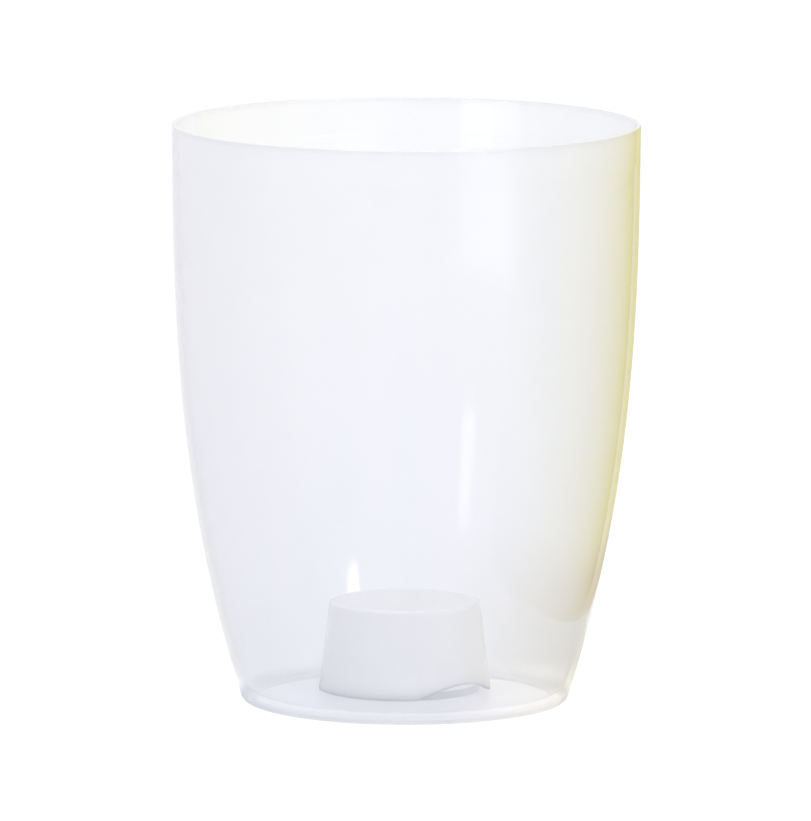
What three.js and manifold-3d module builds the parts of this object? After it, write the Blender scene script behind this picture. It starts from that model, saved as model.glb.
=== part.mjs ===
// A translucent orchid pot: a tall, thin-walled pot and the loose pedestal that stands on its floor.
// The pedestal carries the plant's own pot above the water that gathers below it, and lifts straight out.
// Millimetres, +Z up. The origin is the centre of the foot, on the surface that the pot stands on.
// The front is -Y.
import * as THREE from "three";
import { mergeVertices } from "three/addons/utils/BufferGeometryUtils.js";
import Module from "manifold-3d";

// Pot, outside form
const potHeight = 155;
const mouthDiameter = 125;
const baseDiameter = 86.6; // the wall's outside, carried down to the ground
const collarDepth = 10; // straight band under the mouth, which ends at the ledge inside
const wallDraft = 0.6; // degrees, so that the pot leaves its mould
const wallCurve = 2.6; // power of the curve that draws the wall in below the collar

// Pot, walls and edges
const potWall = 1.6;
const collarWall = 1.2; // thinner than the wall below, which leaves a ledge for the next pot in a stack
const ledgeSlope = 0.3; // fall of the ledge towards the inside
const rimRounding = 0.45;

// Pot, floor and foot
const floorThickness = 1.8;
const footHeight = 1; // the floor's underside is recessed by this much inside the foot
const footWidth = 3.8;
const footRounding = 2;
const footInnerRounding = 0.4;
const floorFillet = 4; // inside, where the floor turns up into the wall

// Pedestal
const pedestalHeight = 23.6;
const pedestalTopDiameter = 40.5;
const pedestalFootDiameter = 46;
const pedestalWall = 1.4;
const pedestalTop = 1.6;
const pedestalRounding = 1.2;
const pedestalInnerRounding = 0.6;

// Arches that let water under the pedestal's skirt, and leave it standing on as many feet
const archCount = 2;
const archAngle = 74; // degrees of the skirt that one arch takes
const archHeight = 3.4;
const archTurn = 44; // degrees from the front to the first arch's middle, towards +X

// Locating ring on the floor, which the skirt drops over
const ringHeight = 2;
const ringWall = 1.2;
const ringRounding = 0.4;
const ringClearance = 0.4;
const seatGap = 0.3; // between the pedestal's feet and the floor

// Fineness of the facets
const turnSteps = 64;
const wallSteps = 12;
const roundingSteps = 3;
const archSteps = 10;

const floorTop = footHeight + floorThickness;
const collarFoot = potHeight - collarDepth;
const pedestalDraft = (pedestalFootDiameter - pedestalTopDiameter) / 2 / pedestalHeight;

const radians = THREE.MathUtils.degToRad;
const wasm = await Module();
wasm.setup();

// How far below the collar a height lies, as a share of the wall's whole height below it.
function curveDepth(height) {
  return Math.max(0, (collarFoot - height) / collarFoot);
}

// Radius of the wall at a height, on the surface that lies an inset inside its outer face.
function wallRadius(height, inset) {
  const draft = Math.tan(radians(wallDraft));
  const drawnIn = mouthDiameter / 2 - potHeight * draft - baseDiameter / 2;
  const depth = curveDepth(height);
  const outside = mouthDiameter / 2 - (potHeight - height) * draft - drawnIn * depth ** wallCurve;
  const lean = Math.atan(draft + (drawnIn * wallCurve * depth ** (wallCurve - 1)) / collarFoot);
  return outside - inset / Math.cos(lean);
}

// Corners [radius, height] of the wall's face between two heights, without the two ends.
function wallCorners(from, to, inset) {
  const corners = [];
  for (let step = 1; step < wallSteps; step++) {
    const height = THREE.MathUtils.lerp(from, to, step / wallSteps);
    corners.push([wallRadius(height, inset), height]);
  }
  return corners;
}

// Turns corners [radius, height, rounding] into the points of an outline with round corners.
function roundedOutline(corners) {
  const places = corners.map(([radius, height]) => new THREE.Vector2(radius, height));
  return corners.flatMap(([, , rounding = 0], index) => {
    const corner = places[index];
    if (rounding === 0) return [corner];
    const back = places[index - 1].clone().sub(corner).normalize();
    const on = places[index + 1].clone().sub(corner).normalize();
    const halfAngle = Math.acos(back.dot(on)) / 2;
    const middle = back.clone().add(on).normalize();
    const centre = corner.clone().addScaledVector(middle, rounding / Math.sin(halfAngle));
    const reach = rounding / Math.tan(halfAngle);
    const first = corner.clone().addScaledVector(back, reach).sub(centre);
    const last = corner.clone().addScaledVector(on, reach).sub(centre);
    const sweep = Math.atan2(first.cross(last), first.dot(last));
    const origin = new THREE.Vector2();
    return Array.from({ length: roundingSteps + 1 }, (_, step) =>
      first.clone().rotateAround(origin, (sweep * step) / roundingSteps).add(centre),
    );
  });
}

// Revolves an outline that starts and ends on the axis about +Z.
function turned(corners) {
  return new THREE.LatheGeometry(roundedOutline(corners), turnSteps).rotateX(Math.PI / 2);
}

// A closed geometry as a solid that can be cut.
function solidOf(geometry) {
  const bare = geometry.clone();
  bare.deleteAttribute("normal");
  bare.deleteAttribute("uv");
  const merged = mergeVertices(bare);
  const vertProperties = merged.attributes.position.array;
  const triVerts = new Uint32Array(merged.index.array);
  return new wasm.Manifold(new wasm.Mesh({ numProp: 3, vertProperties, triVerts }));
}

function geometryOf(solid) {
  const { vertProperties, triVerts } = solid.getMesh();
  const geometry = new THREE.BufferGeometry();
  geometry.setAttribute("position", new THREE.BufferAttribute(vertProperties, 3));
  geometry.setIndex(new THREE.BufferAttribute(triVerts, 1));
  geometry.computeVertexNormals();
  return geometry;
}

// Radius of the pedestal's inner face at a height above its feet.
function pedestalInside(height) {
  return pedestalFootDiameter / 2 - pedestalWall - height * pedestalDraft;
}

// Pot: one moulding, from the middle of its underside out round the foot, up the outside, over the rim,
// down the inside past the ledge, and in across the floor and its locating ring.
function potGeometry() {
  const footInside = baseDiameter / 2 - footWidth;
  const ledgeFoot = collarFoot - ledgeSlope;
  const ringFoot = pedestalInside(0) - ringClearance;
  const ringTop = pedestalInside(ringHeight) - ringClearance;
  return turned([
    [0, footHeight],
    [footInside, footHeight, footInnerRounding],
    [footInside, 0, footInnerRounding],
    [wallRadius(0, 0), 0, footRounding],
    ...wallCorners(0, collarFoot, 0),
    [wallRadius(collarFoot, 0), collarFoot],
    [mouthDiameter / 2, potHeight, rimRounding],
    [mouthDiameter / 2 - collarWall, potHeight, rimRounding],
    [wallRadius(collarFoot, collarWall), collarFoot],
    [wallRadius(ledgeFoot, potWall), ledgeFoot],
    ...wallCorners(ledgeFoot, floorTop, potWall),
    [wallRadius(floorTop, potWall), floorTop, floorFillet],
    [ringFoot, floorTop],
    [ringTop, floorTop + ringHeight, ringRounding],
    [ringTop - ringWall, floorTop + ringHeight, ringRounding],
    [ringFoot - ringWall, floorTop],
    [0, floorTop],
  ]);
}

// One arch as a bar that reaches out along -Y through the skirt. Its upper edge rises to the arch's height
// and falls again like half a wave, so that the skirt's edge leaves the floor at a slant.
function archGeometry() {
  const halfSpan = (pedestalFootDiameter / 2) * Math.sin(radians(archAngle / 2));
  const outline = new THREE.Shape();
  outline.moveTo(-halfSpan, -archHeight);
  outline.lineTo(halfSpan, -archHeight);
  for (let step = 0; step <= archSteps; step++) {
    const across = 1 - (2 * step) / archSteps;
    outline.lineTo(across * halfSpan, archHeight * Math.cos((across * Math.PI) / 2));
  }
  const bar = { depth: pedestalFootDiameter, bevelEnabled: false };
  return new THREE.ExtrudeGeometry(outline, bar).rotateX(Math.PI / 2);
}

// Pedestal: an open-bottomed cup turned upside down, drafted, with arches cut in the edge of its skirt.
function pedestalGeometry() {
  const innerTop = pedestalHeight - pedestalTop;
  const skirt = turned([
    [0, innerTop],
    [pedestalInside(innerTop), innerTop, pedestalInnerRounding],
    [pedestalInside(0), 0],
    [pedestalFootDiameter / 2, 0],
    [pedestalTopDiameter / 2, pedestalHeight, pedestalRounding],
    [0, pedestalHeight],
  ]);
  let pedestal = solidOf(skirt);
  for (let arch = 0; arch < archCount; arch++) {
    const turn = radians(archTurn + (360 / archCount) * arch);
    pedestal = pedestal.subtract(solidOf(archGeometry().rotateZ(turn)));
  }
  return geometryOf(pedestal);
}

function clearPlastic(color, opacity) {
  return new THREE.MeshStandardMaterial({ color, opacity, transparent: true, roughness: 0.25, metalness: 0 });
}

const pot = new THREE.Mesh(potGeometry(), clearPlastic(0xf1f2f8, 0.4));
pot.name = "pot";

const pedestal = new THREE.Mesh(pedestalGeometry(), clearPlastic(0xe4e7f0, 0.5));
pedestal.name = "pedestal";
pedestal.position.z = floorTop + seatGap;

const orchidPot = new THREE.Group();
orchidPot.add(pot, pedestal);

export default orchidPot;
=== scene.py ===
import math

import bmesh
import bpy
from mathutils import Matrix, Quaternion, Vector


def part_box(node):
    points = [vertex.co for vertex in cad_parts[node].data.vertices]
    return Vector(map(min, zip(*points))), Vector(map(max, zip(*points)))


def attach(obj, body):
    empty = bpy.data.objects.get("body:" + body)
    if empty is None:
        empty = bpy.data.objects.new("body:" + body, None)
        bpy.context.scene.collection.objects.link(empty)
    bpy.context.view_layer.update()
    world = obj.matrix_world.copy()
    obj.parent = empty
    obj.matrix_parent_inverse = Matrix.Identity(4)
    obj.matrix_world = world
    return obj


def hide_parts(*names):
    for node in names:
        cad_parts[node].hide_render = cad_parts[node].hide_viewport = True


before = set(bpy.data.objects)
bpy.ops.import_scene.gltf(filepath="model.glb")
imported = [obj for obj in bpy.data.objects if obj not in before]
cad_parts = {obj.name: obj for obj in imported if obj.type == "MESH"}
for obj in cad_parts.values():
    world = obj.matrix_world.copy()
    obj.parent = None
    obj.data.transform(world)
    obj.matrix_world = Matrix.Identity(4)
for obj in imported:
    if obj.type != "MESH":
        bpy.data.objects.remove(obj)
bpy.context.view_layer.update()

# Pot: one thin moulding of milky, see-through polypropylene, out of a polished mould.
# Its outline is drawn once beside the axis and spun about it, and each corner ring is then rounded.
# An edge layer marks where grey painted shade lies: on the rim, on the foot and on the floor's ring.
MM = 0.001
TOUCH = 1e-6
SPIN_STEPS = 256

POT_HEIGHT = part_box("pot")[1].z
MOUTH_RADIUS = 62.5 * MM
BASE_RADIUS = 43.3 * MM
WALL_DRAFT = math.tan(math.radians(0.6))
WALL_CURVE = 2.6
WALL_STEPS = 56
POT_WALL = 1.6 * MM
COLLAR_WALL = 1.2 * MM
COLLAR_FOOT = POT_HEIGHT - 10 * MM
LEDGE_FOOT = COLLAR_FOOT - 0.3 * MM
LEDGE_ROUNDING = 0.1 * MM
RIM_ROUNDING = 0.45 * MM
FOOT_HEIGHT = 1 * MM
FOOT_INSIDE = BASE_RADIUS - 3.8 * MM
FOOT_ROUNDING = 1.4 * MM
FOOT_INNER_ROUNDING = 0.4 * MM
FLOOR_TOP = FOOT_HEIGHT + 1.8 * MM
FLOOR_FILLET = 2.8 * MM
GATE_RADIUS = 2 * MM
GATE_HEIGHT = 0.4 * MM

# The floor's ring stands inside the pedestal's skirt and leans with it.
PEDESTAL_FOOT_RADIUS = 23 * MM
PEDESTAL_TOP_RADIUS = 20.25 * MM
PEDESTAL_WALL = 1.4 * MM
pedestal_low, pedestal_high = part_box("pedestal")
PEDESTAL_DRAFT = (PEDESTAL_FOOT_RADIUS - PEDESTAL_TOP_RADIUS) / (pedestal_high.z - pedestal_low.z)
RING_HEIGHT = 2 * MM
RING_WALL = 1.2 * MM
RING_CLEARANCE = 0.4 * MM
RING_ROUNDING = 0.4 * MM
RING_FOOT = PEDESTAL_FOOT_RADIUS - PEDESTAL_WALL - RING_CLEARANCE
RING_TOP = RING_FOOT - RING_HEIGHT * PEDESTAL_DRAFT
RING_SHADE_END = PEDESTAL_FOOT_RADIUS - 0.6 * MM


def wall_radius(height, inset):
    """Radius of the wall at a height, on the surface that lies an inset inside its outer face."""
    drawn_in = MOUTH_RADIUS - POT_HEIGHT * WALL_DRAFT - BASE_RADIUS
    depth = max(0, (COLLAR_FOOT - height) / COLLAR_FOOT)
    outside = MOUTH_RADIUS - (POT_HEIGHT - height) * WALL_DRAFT - drawn_in * depth ** WALL_CURVE
    lean = math.atan(WALL_DRAFT + drawn_in * WALL_CURVE * depth ** (WALL_CURVE - 1) / COLLAR_FOOT)
    return outside - inset / math.cos(lean)


def wall_outline(start, end, inset):
    """Corners of the wall's face between two heights, both ends included."""
    heights = [start + (end - start) * step / WALL_STEPS for step in range(WALL_STEPS + 1)]
    return [(wall_radius(height, inset), height) for height in heights]


def spun(outline):
    """Mesh of a solid whose outline of (radius, height) corners starts and ends on the axis."""
    mesh = bmesh.new()
    corners = [mesh.verts.new((radius, 0, height)) for radius, height in outline]
    edges = [mesh.edges.new(pair) for pair in zip(corners, corners[1:])]
    bmesh.ops.spin(mesh, geom=corners + edges, axis=(0, 0, 1), cent=(0, 0, 0),
                   angle=math.tau, steps=SPIN_STEPS, use_merge=True)
    bmesh.ops.remove_doubles(mesh, verts=mesh.verts, dist=TOUCH)
    bmesh.ops.recalc_face_normals(mesh, faces=mesh.faces)
    return mesh


def round_ring(mesh, radius, height, setback, segments):
    """Rounds the circular edge at a radius and height, starting a setback away on either side."""
    def on_ring(vert):
        return abs(vert.co.xy.length - radius) < TOUCH and abs(vert.co.z - height) < TOUCH
    ring = [edge for edge in mesh.edges if all(on_ring(vert) for vert in edge.verts)]
    bmesh.ops.bevel(mesh, geom=ring, offset=setback, offset_type="OFFSET", segments=segments,
                    profile=0.5, affect="EDGES", material=-1)


def object_of(name, mesh, material):
    """Object at the origin that takes over a mesh, in one material."""
    data = bpy.data.meshes.new(name)
    mesh.to_mesh(data)
    mesh.free()
    data.materials.append(material)
    made = bpy.data.objects.new(name, data)
    bpy.context.scene.collection.objects.link(made)
    return made


def finished_piece(name, mesh, material):
    """Object of a mesh with smooth faces, whose shading follows its broad faces up to each rounding."""
    for face in mesh.faces:
        face.smooth = True
    piece = object_of(name, mesh, material)
    shading = piece.modifiers.new("shading", "WEIGHTED_NORMAL")
    shading.weight = 100
    return piece


class Shade:
    """A socket of one node tree: arithmetic on it adds Math nodes, and node() adds any other."""

    def __init__(self, tree, output=None):
        self.tree = tree
        self.output = output

    def node(self, kind, settings=(), inputs=(), output=0):
        made = self.tree.nodes.new("ShaderNode" + kind)
        for name, value in dict(settings).items():
            setattr(made, name, value)
        for name, value in dict(inputs).items():
            if isinstance(value, Shade):
                self.tree.links.new(value.output, made.inputs[name])
            else:
                made.inputs[name].default_value = value
        return Shade(self.tree, made.outputs[output] if made.outputs else None)

    def math(self, operation, first, second):
        return self.node("Math", {"operation": operation}, {0: first, 1: second})

    def __add__(self, other):
        return self.math("ADD", self, other)

    def __rsub__(self, other):
        return self.math("SUBTRACT", other, self)

    def __mul__(self, other):
        return self.math("MULTIPLY", self, other)

    __radd__ = __add__
    __rmul__ = __mul__


def emptied(owner):
    """Clears the nodes of a material or a world, and gives the Shade that adds new ones."""
    owner.use_nodes = True
    owner.node_tree.nodes.clear()
    return Shade(owner.node_tree)


def ramp(value, start, end, low=0, high=1):
    """Goes from low to high while the value goes from start to end, and stays there beyond."""
    return value.node("MapRange", inputs={0: value, 1: start, 2: end, 3: low, 4: high})


def blend(share, first, second):
    """Mixes two colours: the first at a share of 0, the second at 1."""
    return share.node("Mix", {"data_type": "RGBA"}, {0: share, 6: first, 7: second}, 2)


STREAK_SHARE = 0.6
HAIRLINE_LEVELS = (0.62, 0.72)
HAIRLINE_ROUGHNESS = 0.03
HAIRLINE_HEIGHT = 0.001
SMUDGE_ROUGHNESS = 0.04
WAVE_HEIGHT = 0.06
# Painted shade: a grey mixed into the colour, as strongly as the edge layer says.
PAINTED_SHADE_GREY = (0.3, 0.33, 0.42, 1)
PAINTED_SHADE_SHARE = 0.8
PAINTED_SHADE_POWER = 10
FLOOR_GLOSS = 0.2
FLOOR_TO_WALL = (3 * MM, 6 * MM)
COAT = {"Coat IOR": 1.49, "Coat Roughness": 0.05}
LIGHT_TAKEN_UP = {"Color": (0.5, 0.5, 0.58, 1), "Density": 11}


def milky_plastic(name, tint, streak_tint, clearness, gloss_roughness):
    """Milky, see-through polypropylene with flow streaks, soft waves, rub marks of stacking and painted
    shade.

    Towards the foot the colour deepens to the streak tint, as painted shade, and the floor is less glossy
    than the wall."""
    material = bpy.data.materials.new(name)
    paint = emptied(material)
    place = paint.node("TexCoord", output="Object")
    rise = paint.node("SeparateXYZ", inputs={0: place}, output="Z")

    def noise(scale, detail, roughness=0.5):
        along = paint.node("Mapping", inputs={"Vector": place, "Scale": scale})
        return paint.node("TexNoise", inputs={
            "Vector": along, "Scale": 1, "Detail": detail, "Roughness": roughness})

    streaks = noise(scale=(55, 55, 9), detail=3)
    waves = noise(scale=(42, 42, 14), detail=1)
    rubs = noise(scale=(1500, 1500, 45), detail=2)
    smudges = noise(scale=(38, 38, 38), detail=4, roughness=0.6)
    hairlines = ramp(rubs, *HAIRLINE_LEVELS)
    # Flow streaks, and painted shade that deepens the colour towards the foot.
    lowness = ramp(rise, 0, POT_HEIGHT, 1, 0)
    streaks_and_shade = STREAK_SHARE * streaks + (1 - STREAK_SHARE) * lowness
    edge = paint.node("Attribute", {"attribute_name": "edge"}, output="Fac")
    painted_shade = PAINTED_SHADE_SHARE * paint.math("POWER", edge, PAINTED_SHADE_POWER)
    colour = blend(painted_shade, blend(streaks_and_shade, tint, streak_tint), PAINTED_SHADE_GREY)
    roughness = gloss_roughness + SMUDGE_ROUGHNESS * smudges + HAIRLINE_ROUGHNESS * hairlines
    gloss = ramp(rise, *FLOOR_TO_WALL, FLOOR_GLOSS, 1)
    height = WAVE_HEIGHT * waves + HAIRLINE_HEIGHT * hairlines
    bump = paint.node("Bump", inputs={"Strength": 1, "Distance": MM, "Height": height})
    plastic = paint.node("BsdfPrincipled", inputs={
        "Base Color": colour, "Roughness": roughness, "Normal": bump, "Coat Weight": gloss,
        "Transmission Weight": clearness, "IOR": 1, **COAT})
    depth = paint.node("VolumeAbsorption", inputs=LIGHT_TAKEN_UP)
    paint.node("OutputMaterial", inputs={"Surface": plastic, "Volume": depth})
    return material


pot_outline = [
    (0, FOOT_HEIGHT - GATE_HEIGHT),
    (GATE_RADIUS, FOOT_HEIGHT - GATE_HEIGHT),
    (GATE_RADIUS, FOOT_HEIGHT),
    (FOOT_INSIDE, FOOT_HEIGHT),
    (FOOT_INSIDE, 0),
    *wall_outline(0, COLLAR_FOOT, 0),
    (MOUTH_RADIUS, POT_HEIGHT),
    (MOUTH_RADIUS - COLLAR_WALL, POT_HEIGHT),
    (wall_radius(COLLAR_FOOT, COLLAR_WALL), COLLAR_FOOT),
    *wall_outline(LEDGE_FOOT, FLOOR_TOP + 2 * FLOOR_FILLET, POT_WALL),
    (wall_radius(FLOOR_TOP, POT_WALL), FLOOR_TOP),
    (RING_SHADE_END, FLOOR_TOP),
    (RING_FOOT, FLOOR_TOP),
    (RING_TOP, FLOOR_TOP + RING_HEIGHT),
    (RING_TOP - RING_WALL, FLOOR_TOP + RING_HEIGHT),
    (RING_FOOT - RING_WALL, FLOOR_TOP),
    (0, FLOOR_TOP),
]
pot_mesh = spun(pot_outline)
for rim_radius in (MOUTH_RADIUS, MOUTH_RADIUS - COLLAR_WALL):
    round_ring(pot_mesh, rim_radius, POT_HEIGHT, RIM_ROUNDING, segments=4)
round_ring(pot_mesh, wall_radius(COLLAR_FOOT, COLLAR_WALL), COLLAR_FOOT, LEDGE_ROUNDING, segments=2)
round_ring(pot_mesh, wall_radius(LEDGE_FOOT, POT_WALL), LEDGE_FOOT, LEDGE_ROUNDING, segments=2)
round_ring(pot_mesh, BASE_RADIUS, 0, FOOT_ROUNDING, segments=6)
for foot_edge in (0, FOOT_HEIGHT):
    round_ring(pot_mesh, FOOT_INSIDE, foot_edge, FOOT_INNER_ROUNDING, segments=3)
round_ring(pot_mesh, wall_radius(FLOOR_TOP, POT_WALL), FLOOR_TOP, FLOOR_FILLET, segments=8)
for ring_edge in (RING_TOP, RING_TOP - RING_WALL):
    round_ring(pot_mesh, ring_edge, FLOOR_TOP + RING_HEIGHT, RING_ROUNDING, segments=3)

# The foot's painted shade is darkest a little above the table and fades upwards, and the ring's at the front.
RIM_PAINTED_SHADE = 0.8
RIM_BAND = POT_HEIGHT - 0.5 * MM
FOOT_PAINTED_SHADE = 0.95
FOOT_SHADE_PEAK_HEIGHT = 1.05 * MM
FOOT_SHADE_FALL = 0.0625 / MM
FOOT_BAND = 4 * MM
FOOT_BAND_INSIDE = FOOT_INSIDE + 2 * MM
SOLE_PAINTED_SHADE = 0.88
RING_PAINTED_SHADE = 0.8
RING_FRONT_PAINTED_SHADE = 0.13
pot_painted_shade = pot_mesh.verts.layers.float.new("edge")
for vert in pot_mesh.verts:
    radius = vert.co.xy.length
    if vert.co.z > RIM_BAND:
        vert[pot_painted_shade] = RIM_PAINTED_SHADE
    if vert.co.z < FOOT_BAND and radius > FOOT_BAND_INSIDE:
        vert[pot_painted_shade] = max(0, FOOT_PAINTED_SHADE - FOOT_SHADE_FALL * abs(vert.co.z - FOOT_SHADE_PEAK_HEIGHT))
    if vert.co.z < TOUCH:
        vert[pot_painted_shade] = SOLE_PAINTED_SHADE
    if vert.co.z > FLOOR_TOP - TOUCH and RING_TOP - RING_WALL - TOUCH < radius < RING_FOOT + TOUCH:
        vert[pot_painted_shade] = RING_PAINTED_SHADE + RING_FRONT_PAINTED_SHADE * max(0, -vert.co.y / radius)
pot_plastic = milky_plastic("pot_plastic", tint=(0.98, 0.985, 1, 1), streak_tint=(0.922, 0.93, 0.975, 1),
                            clearness=0.82, gloss_roughness=0.03)
pot = finished_piece("pot_shell", pot_mesh, pot_plastic)
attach(pot, "pot")
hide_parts("pot")

# Pedestal: a loose, open-bottomed cup of the same plastic, standing upside down over the floor's ring.
# It is spun as the pot is, and the edge of its skirt is then lifted into low arches for the water.
# Painted shade lies on its inside and, darkest, along the edge of the skirt.
PEDESTAL_FOOT = pedestal_low.z
PEDESTAL_TOP = pedestal_high.z
PEDESTAL_ROOF = PEDESTAL_TOP - 1.6 * MM
PEDESTAL_ROUNDING = 1.2 * MM
PEDESTAL_INNER_ROUNDING = 0.6 * MM
ARCH_COUNT = 2
ARCH_TURN = math.radians(44)
ARCH_ANGLE = math.radians(74)
ARCH_HALF_SPAN = PEDESTAL_FOOT_RADIUS * math.sin(ARCH_ANGLE / 2)
ARCH_HEIGHT = 3.4 * MM
SKIRT_RINGS = 7
SKIRT_RING_STEP = 2 * MM
INSIDE_PAINTED_SHADE = 0.76
SKIRT_EDGE_PAINTED_SHADE = 1


def pedestal_radius(height, inset):
    """Radius of the skirt at a height, on the surface that lies an inset inside its outer face."""
    return PEDESTAL_FOOT_RADIUS - inset - (height - PEDESTAL_FOOT) * PEDESTAL_DRAFT


def arch_rise(x, y):
    """How far an arch lifts the skirt's edge above the feet at a place on it, from the nearest arch."""
    turn = math.atan2(x, -y)
    pitch = math.tau / ARCH_COUNT
    off_middle = (turn - ARCH_TURN + pitch / 2) % pitch - pitch / 2
    across = min(math.hypot(x, y) * math.sin(abs(off_middle)) / ARCH_HALF_SPAN, 1)
    return ARCH_HEIGHT * math.cos(across * math.pi / 2)


above_arches = PEDESTAL_FOOT + 2 * ARCH_HEIGHT
skirt_heights = [PEDESTAL_FOOT, *(above_arches + ring * SKIRT_RING_STEP for ring in range(SKIRT_RINGS))]
pedestal_outline = [
    (0, PEDESTAL_ROOF),
    (pedestal_radius(PEDESTAL_ROOF, PEDESTAL_WALL), PEDESTAL_ROOF),
    *((pedestal_radius(height, PEDESTAL_WALL), height) for height in reversed(skirt_heights)),
    *((pedestal_radius(height, 0), height) for height in skirt_heights),
    (PEDESTAL_TOP_RADIUS, PEDESTAL_TOP),
    (0, PEDESTAL_TOP),
]
pedestal_mesh = spun(pedestal_outline)
round_ring(pedestal_mesh, PEDESTAL_TOP_RADIUS, PEDESTAL_TOP, PEDESTAL_ROUNDING, segments=6)
round_ring(pedestal_mesh, pedestal_radius(PEDESTAL_ROOF, PEDESTAL_WALL), PEDESTAL_ROOF,
           PEDESTAL_INNER_ROUNDING, segments=4)
pedestal_painted_shade = pedestal_mesh.verts.layers.float.new("edge")
for vert in pedestal_mesh.verts:
    radius = vert.co.xy.length
    if vert.co.z < PEDESTAL_ROOF + TOUCH and radius < pedestal_radius(vert.co.z, PEDESTAL_WALL / 2):
        vert[pedestal_painted_shade] = INSIDE_PAINTED_SHADE
    if vert.co.z < PEDESTAL_FOOT + TOUCH:
        vert[pedestal_painted_shade] = SKIRT_EDGE_PAINTED_SHADE
        rise = arch_rise(vert.co.x, vert.co.y)
        vert.co.xy *= 1 - rise * PEDESTAL_DRAFT / radius
        vert.co.z += rise
pedestal_plastic = milky_plastic("pedestal_plastic", tint=(0.99, 0.99, 0.998, 1),
                                 streak_tint=(0.958, 0.96, 0.974, 1), clearness=0.4, gloss_roughness=0.05)
pedestal = finished_piece("pedestal_cup", pedestal_mesh, pedestal_plastic)
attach(pedestal, "pedestal")
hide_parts("pedestal")

# Floor and surround: a plain white table in a white room, which the camera, gloss and clear plastic all see.
# The table keeps part of its own shading, so that the pot's soft shadow stays on it. Seen through the plastic
# it is a little dimmer, with painted warm light under the pot's right side and painted warm shade behind it.
FLOOR_REACH = 8
WHITE = (1, 1, 1, 1)
TABLE_GREY = (0.6, 0.6, 0.6, 1)
UNDER_PAINTED_LIGHT = (1.27, 1.2, 1.07, 1)
BEHIND_PAINTED_SHADE = (0.85, 0.83, 0.74, 1)
RIGHT_SIDE = (8 * MM, 34 * MM)
BEHIND_POT = (42 * MM, 62 * MM)
FAR_BEHIND = (150 * MM, 300 * MM)
ROOM_LEVEL = 0.55
ROOM_TINT = (0.93, 0.945, 1, 1)


def sees_white(paint):
    """1 on rays that show the surround to the eye: straight, by reflection or through clear plastic."""
    rays = [paint.node("LightPath", output=name) for name in
            ("Is Camera Ray", "Is Glossy Ray", "Is Transmission Ray")]
    return paint.math("MINIMUM", rays[0] + rays[1] + rays[2], 1)


def shown_white(paint, tint, strength, shading):
    """A white that glows by itself at a strength, and takes light and shadow in a grey of its own."""
    glow = paint.node("Emission", inputs={"Color": tint, "Strength": strength})
    grey = paint.node("BsdfDiffuse", inputs={"Color": (shading, shading, shading, 1)})
    return paint.node("AddShader", inputs={0: glow, 1: grey})


table_material = bpy.data.materials.new("white_table")
paint = emptied(table_material)
place = paint.node("TexCoord", output="Object")
across = paint.node("SeparateXYZ", inputs={0: place}, output="X")
back = paint.node("SeparateXYZ", inputs={0: place}, output="Y")
# Painted warm light under the pot's right side and painted warm shade behind it, seen only through the
# plastic.
near_painted_light_and_shade = blend(ramp(back, *BEHIND_POT), UNDER_PAINTED_LIGHT, BEHIND_PAINTED_SHADE)
right_painted_light_and_shade = blend(ramp(back, *FAR_BEHIND), near_painted_light_and_shade, WHITE)
table_painted_light_and_shade = blend(ramp(across, *RIGHT_SIDE), WHITE, right_painted_light_and_shade)
seen_straight = shown_white(paint, WHITE, strength=0.9, shading=0.18)
seen_through = shown_white(paint, table_painted_light_and_shade, strength=0.79, shading=0.36)
is_through = paint.node("LightPath", output="Is Transmission Ray")
shown = paint.node("MixShader", inputs={0: is_through, 1: seen_straight, 2: seen_through})
lit = paint.node("BsdfDiffuse", inputs={"Color": TABLE_GREY})
mixed = paint.node("MixShader", inputs={0: sees_white(paint), 1: lit, 2: shown})
paint.node("OutputMaterial", inputs={"Surface": mixed})
table_mesh = bmesh.new()
bmesh.ops.create_grid(table_mesh, x_segments=1, y_segments=1, size=FLOOR_REACH)
object_of("table", table_mesh, table_material)

world = bpy.data.worlds.new("white_room")
paint = emptied(world)
room_light = paint.node("Background", inputs={"Color": ROOM_TINT, "Strength": ROOM_LEVEL})
room_white = paint.node("Background", inputs={"Color": WHITE, "Strength": 1})
mixed = paint.node("MixShader", inputs={0: sees_white(paint), 1: room_light, 2: room_white})
paint.node("OutputWorld", inputs={"Surface": mixed})
world.cycles.sampling_method = "NONE"
bpy.context.scene.world = world
bpy.context.scene.cycles.max_bounces = 40
bpy.context.scene.cycles.transmission_bounces = 40
bpy.context.scene.cycles.glossy_bounces = 32
bpy.context.scene.cycles.diffuse_bounces = 8

# Lamps and boards: a soft box above, another over the mouth, a strip and a window at the left, a small lamp
# at the right, a tinted board upright on either side of the pot, and a low card beside its foot.
# Lamps and boards are placed in metres, and azimuths run from the camera towards +X.
BOARD_FOOT = 1 * MM
INSIDE_FADE = 30 * MM
SCATTERED_REACH = 0.5
WALL_FACES = 2
BEIGE = (0.79, 0.76, 0.64, 1)


def direction(azimuth, elevation):
    """Unit vector from the pot towards an azimuth and an elevation in degrees."""
    turn = math.radians(azimuth)
    climb = math.radians(elevation)
    return Vector((math.sin(turn) * math.cos(climb), -math.cos(turn) * math.cos(climb), math.sin(climb)))


def soft_box(name, azimuth, elevation, distance, width, height, brightness):
    """Area lamp that faces the pot's middle, and looks as bright as a white of that brightness."""
    data = bpy.data.lights.new(name, "AREA")
    data.shape = "RECTANGLE"
    data.size = width
    data.size_y = height
    data.energy = brightness * math.pi * width * height
    lamp = bpy.data.objects.new(name, data)
    towards = direction(azimuth, elevation)
    lamp.location = Vector((0, 0, POT_HEIGHT / 2)) + distance * towards
    lamp.rotation_euler = towards.to_track_quat("Z", "Y").to_euler()
    bpy.context.scene.collection.objects.link(lamp)


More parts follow.
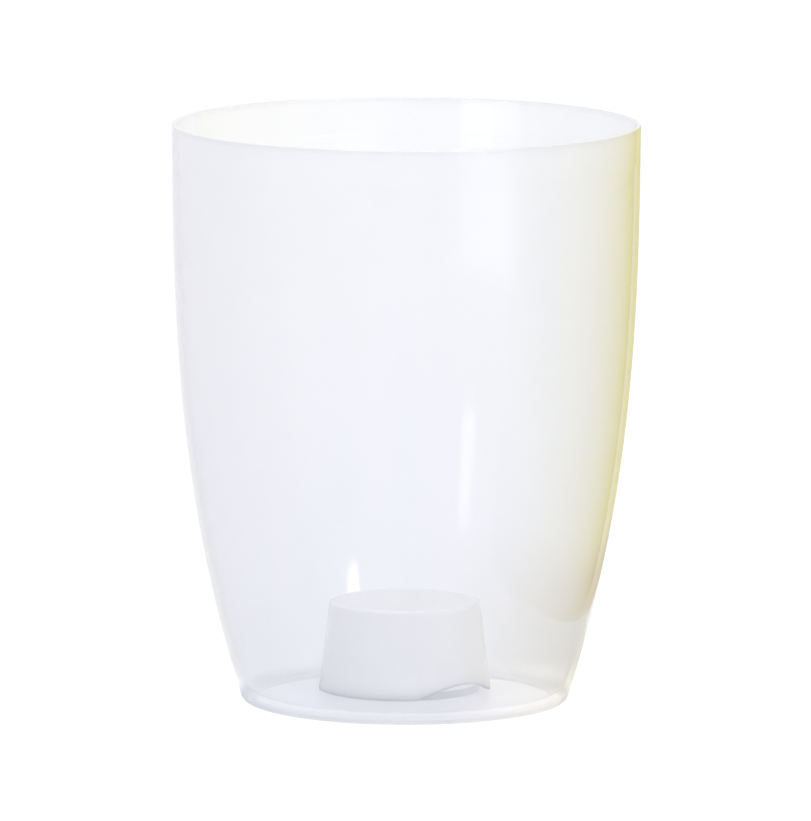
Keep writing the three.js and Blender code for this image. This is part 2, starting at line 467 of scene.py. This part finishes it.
def board_mesh(foot_side, top_side, front, back, top):
    """One face that leans from its foot to its top and runs from front to back, turned towards the pot."""
    mesh = bmesh.new()
    ends = [mesh.verts.new(corner) for corner in ((foot_side, front, BOARD_FOOT), (top_side, front, top))]
    swept = bmesh.ops.extrude_edge_only(mesh, edges=[mesh.edges.new(ends)])["geom"]
    moved = [part for part in swept if isinstance(part, bmesh.types.BMVert)]
    bmesh.ops.translate(mesh, vec=(0, back - front, 0), verts=moved)
    mesh.normal_update()
    outward = [face for face in mesh.faces if face.normal.x * foot_side > 0]
    bmesh.ops.reverse_faces(mesh, faces=outward)
    return mesh


def board_tint(name, front, fade, colour, foot_colour, foot_height, inside_top):
    """White at the front edge, tinted a fade behind it, and of another tint along the foot.

    Only light that the plastic reflects or scatters meets it: straight views pass through. Light from inside
    the wall, which crosses two faces at most, meets it below a height of its own. Light from across the pot
    meets it in part once it has scattered, and wholly when it has scattered twice."""
    material = bpy.data.materials.new(name)
    material.cycles.emission_sampling = "NONE"
    paint = emptied(material)
    place = paint.node("TexCoord", output="Object")
    depth = paint.node("SeparateXYZ", inputs={0: place}, output="Y")
    height = paint.node("SeparateXYZ", inputs={0: place}, output="Z")
    body = blend(ramp(height, foot_height / 2, foot_height), foot_colour, colour)
    tint = blend(ramp(depth, front, front + fade), WHITE, body)
    bright = paint.node("Emission", inputs={"Color": tint, "Strength": 1})
    dim = paint.node("Emission", inputs={"Color": tint, "Strength": ROOM_LEVEL})
    scatters = paint.node("LightPath", output="Is Diffuse Ray")
    glow = paint.node("MixShader", inputs={0: scatters, 1: bright, 2: dim})
    scattered = paint.node("LightPath", output="Diffuse Depth")
    reflected = paint.node("LightPath", output="Glossy Depth")
    crossings = paint.node("LightPath", output="Transmission Depth")
    from_outside = paint.math("LESS_THAN", crossings, 1)
    low_share = ramp(height, inside_top - INSIDE_FADE, inside_top, 1, 0)
    from_wall = paint.math("LESS_THAN", crossings, WALL_FACES + 1) * low_share
    reach = paint.math("MINIMUM", from_outside + from_wall + SCATTERED_REACH * scattered, 1)
    facing = 1 - paint.node("NewGeometry", output="Backfacing")
    met = paint.math("MINIMUM", scattered + reflected, 1) * facing * reach
    sheet = paint.node("MixShader", inputs={0: met, 1: paint.node("BsdfTransparent"), 2: glow})
    paint.node("OutputMaterial", inputs={"Surface": sheet})
    return material


def tinted_board(name, foot_side, top_side, front, back, top, **tint):
    """Board or card beside the pot, which the camera doesn't see and which casts no shadow."""
    mesh = board_mesh(foot_side, top_side, front, back, top)
    board = object_of(name, mesh, board_tint(name, front, **tint))
    board.visible_camera = False
    board.visible_shadow = False


soft_box("top_box", azimuth=45, elevation=50, distance=2, width=1.2, height=1.2, brightness=2.8)
soft_box("mouth_box", azimuth=180, elevation=70, distance=1.5, width=0.5, height=0.5, brightness=6)
soft_box("left_strip", azimuth=-35.6, elevation=8.5, distance=1.2, width=0.15, height=0.15, brightness=3)
soft_box("left_window", azimuth=-44, elevation=-2.2, distance=1.3, width=0.75, height=0.045, brightness=1.5)
soft_box("right_spot", azimuth=34.5, elevation=18, distance=1.2, width=0.16, height=0.14, brightness=8)
# The yellow board's brown foot colour is painted shade at the foot of the board.
tinted_board("yellow_board", foot_side=0.086, top_side=0.086, front=-0.1, back=0.16, top=0.19, fade=0.09,
             colour=(0.77, 0.66, 0, 1), foot_colour=(0.58, 0.41, 0, 1), foot_height=0.03, inside_top=0.165)
tinted_board("lavender_board", foot_side=-0.052, top_side=-0.13, front=-0.08, back=0.25, top=0.18, fade=0.08,
             colour=(0.95, 0.92, 0.97, 1), foot_colour=(0.93, 0.93, 0.95, 1), foot_height=0.1,
             inside_top=0.14)
tinted_board("beige_card", foot_side=0.046, top_side=0.086, front=-0.06, back=0.06, top=0.004, fade=0.04,
             colour=BEIGE, foot_colour=BEIGE, foot_height=0.003, inside_top=0.155)

# Camera: a long lens three metres in front of the pot and half a metre up, as in the photograph.
# It looks at the pot's middle, and is turned a little about its own axis.
EYE = Vector((0, -3, 0.507))
AIM = Vector((0, 0, 0.0779))
ROLL = math.radians(0.18)
LENS = 498
camera_data = bpy.data.cameras.new("camera")
camera_data.lens = LENS
camera = bpy.data.objects.new("camera", camera_data)
camera.location = EYE
camera.rotation_mode = "QUATERNION"
camera.rotation_quaternion = (AIM - EYE).to_track_quat("-Z", "Y") @ Quaternion((0, 0, 1), ROLL)
bpy.context.scene.collection.objects.link(camera)
bpy.context.scene.camera = camera
bpy.context.scene.view_settings.view_transform = "Standard"
